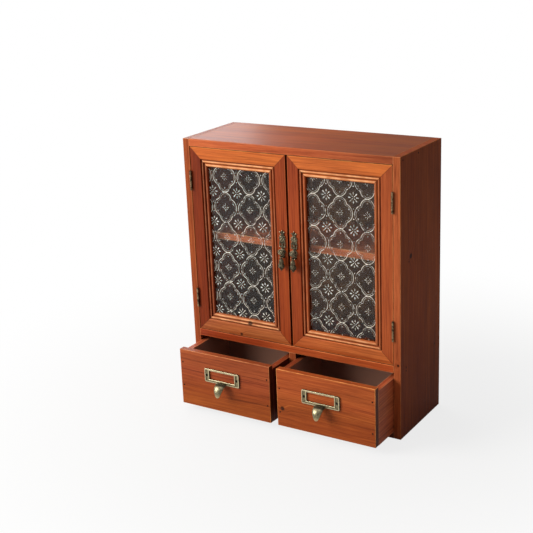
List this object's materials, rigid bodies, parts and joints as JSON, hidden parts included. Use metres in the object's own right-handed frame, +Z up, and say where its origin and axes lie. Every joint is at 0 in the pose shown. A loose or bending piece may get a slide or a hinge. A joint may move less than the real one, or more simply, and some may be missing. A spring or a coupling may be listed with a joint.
{
  "type": "desktop cabinet",
  "caption": "Small stained-pine desktop cabinet with glazed double doors over side-by-side drawers, card-frame drawer pulls and hanging-drop door pulls.",
  "frame": {"origin": "centre of the underside of the cabinet's carcass", "axes": "+X to the right seen from the front, +Y from the doors to the back, +Z up"},
  "size_m": [0.36, 0.2141, 0.42],
  "materials": {
    "stained_pine": "reddish-brown stained pine under a satin lacquer",
    "stained_plywood": "brown stained thin plywood",
    "patterned_glass": "clear glass with a pressed lattice-and-flower pattern",
    "antique_brass": "antique brass with dark patina and rubbed rims",
    "bronzed_steel": "bronze-plated steel, dull",
    "dark_steel": "blackened steel",
    "plated_steel": "zinc-plated steel",
    "catch_plastic": "brown moulded plastic",
    "magnet_steel": "plain ferrite and steel"
  },
  "bodies": {
    "carcass": {"back_panel": "stained_plywood", "back_panel_nails": "dark_steel", "bottom_panel": "stained_pine", "carcass_brads": "dark_steel", "carcass_screws": "dark_steel", "catch_case": "catch_plastic", "catch_magnets": "magnet_steel", "drawer_partition": "stained_pine", "hinge_leaf_left_lower": "bronzed_steel", "hinge_leaf_left_upper": "bronzed_steel", "hinge_leaf_right_lower": "bronzed_steel", "hinge_leaf_right_upper": "bronzed_steel", "hinge_pins": "bronzed_steel", "middle_panel": "stained_pine", "shelf": "stained_pine", "side_panel_left": "stained_pine", "side_panel_right": "stained_pine", "top_panel": "stained_pine"},
    "door_left": {"door_left_bottom_rail": "stained_pine", "door_left_glass": "patterned_glass", "door_left_glazing_beads": "stained_pine", "door_left_hinge_leaf_lower": "bronzed_steel", "door_left_hinge_leaf_upper": "bronzed_steel", "door_left_hinge_stile": "stained_pine", "door_left_meeting_stile": "stained_pine", "door_left_pull_pins": "dark_steel", "door_left_pull_plate": "antique_brass", "door_left_screws": "dark_steel", "door_left_strike_plate": "plated_steel", "door_left_top_rail": "stained_pine"},
    "door_right": {"door_right_bottom_rail": "stained_pine", "door_right_glass": "patterned_glass", "door_right_glazing_beads": "stained_pine", "door_right_hinge_leaf_lower": "bronzed_steel", "door_right_hinge_leaf_upper": "bronzed_steel", "door_right_hinge_stile": "stained_pine", "door_right_meeting_stile": "stained_pine", "door_right_pull_pins": "dark_steel", "door_right_pull_plate": "antique_brass", "door_right_screws": "dark_steel", "door_right_strike_plate": "plated_steel", "door_right_top_rail": "stained_pine"},
    "pull_drop_left": {"door_left_pull_drop": "antique_brass"},
    "pull_drop_right": {"door_right_pull_drop": "antique_brass"},
    "drawer_left": {"drawer_left_back": "stained_pine", "drawer_left_bottom": "stained_plywood", "drawer_left_brads": "dark_steel", "drawer_left_card_frame": "antique_brass", "drawer_left_card_frame_screws": "dark_steel", "drawer_left_front": "stained_pine", "drawer_left_side_inner": "stained_pine", "drawer_left_side_outer": "stained_pine"},
    "drawer_right": {"drawer_right_back": "stained_pine", "drawer_right_bottom": "stained_plywood", "drawer_right_brads": "dark_steel", "drawer_right_card_frame": "antique_brass", "drawer_right_card_frame_screws": "dark_steel", "drawer_right_front": "stained_pine", "drawer_right_side_inner": "stained_pine", "drawer_right_side_outer": "stained_pine"}
  },
  "joints": [
    {"name": "door_left_hinge", "type": "hinge", "parent": "carcass", "child": "door_left", "pos_m": [-0.1685, -0.0708, 0.262], "axis": [0, 0, -1], "range_deg": [0, 170]},
    {"name": "drawer_left_slide", "type": "slide", "parent": "carcass", "child": "drawer_left", "axis": [0, -1, 0], "range_m": [-0.058, 0.04]},
    {"name": "pull_drop_left_swing", "type": "hinge", "parent": "door_left", "child": "pull_drop_left", "pos_m": [-0.01, -0.0741, 0.2555], "axis": [-1, 0, 0], "range_deg": [0, 80]},
    {"name": "door_right_hinge", "type": "hinge", "parent": "carcass", "child": "door_right", "pos_m": [0.1685, -0.0708, 0.262], "axis": [0, 0, 1], "range_deg": [0, 170]},
    {"name": "drawer_right_slide", "type": "slide", "parent": "carcass", "child": "drawer_right", "axis": [0, -1, 0], "range_m": [-0.058, 0.04]},
    {"name": "pull_drop_right_swing", "type": "hinge", "parent": "door_right", "child": "pull_drop_right", "pos_m": [0.01, -0.0741, 0.2555], "axis": [-1, 0, 0], "range_deg": [0, 80]}
  ]
}
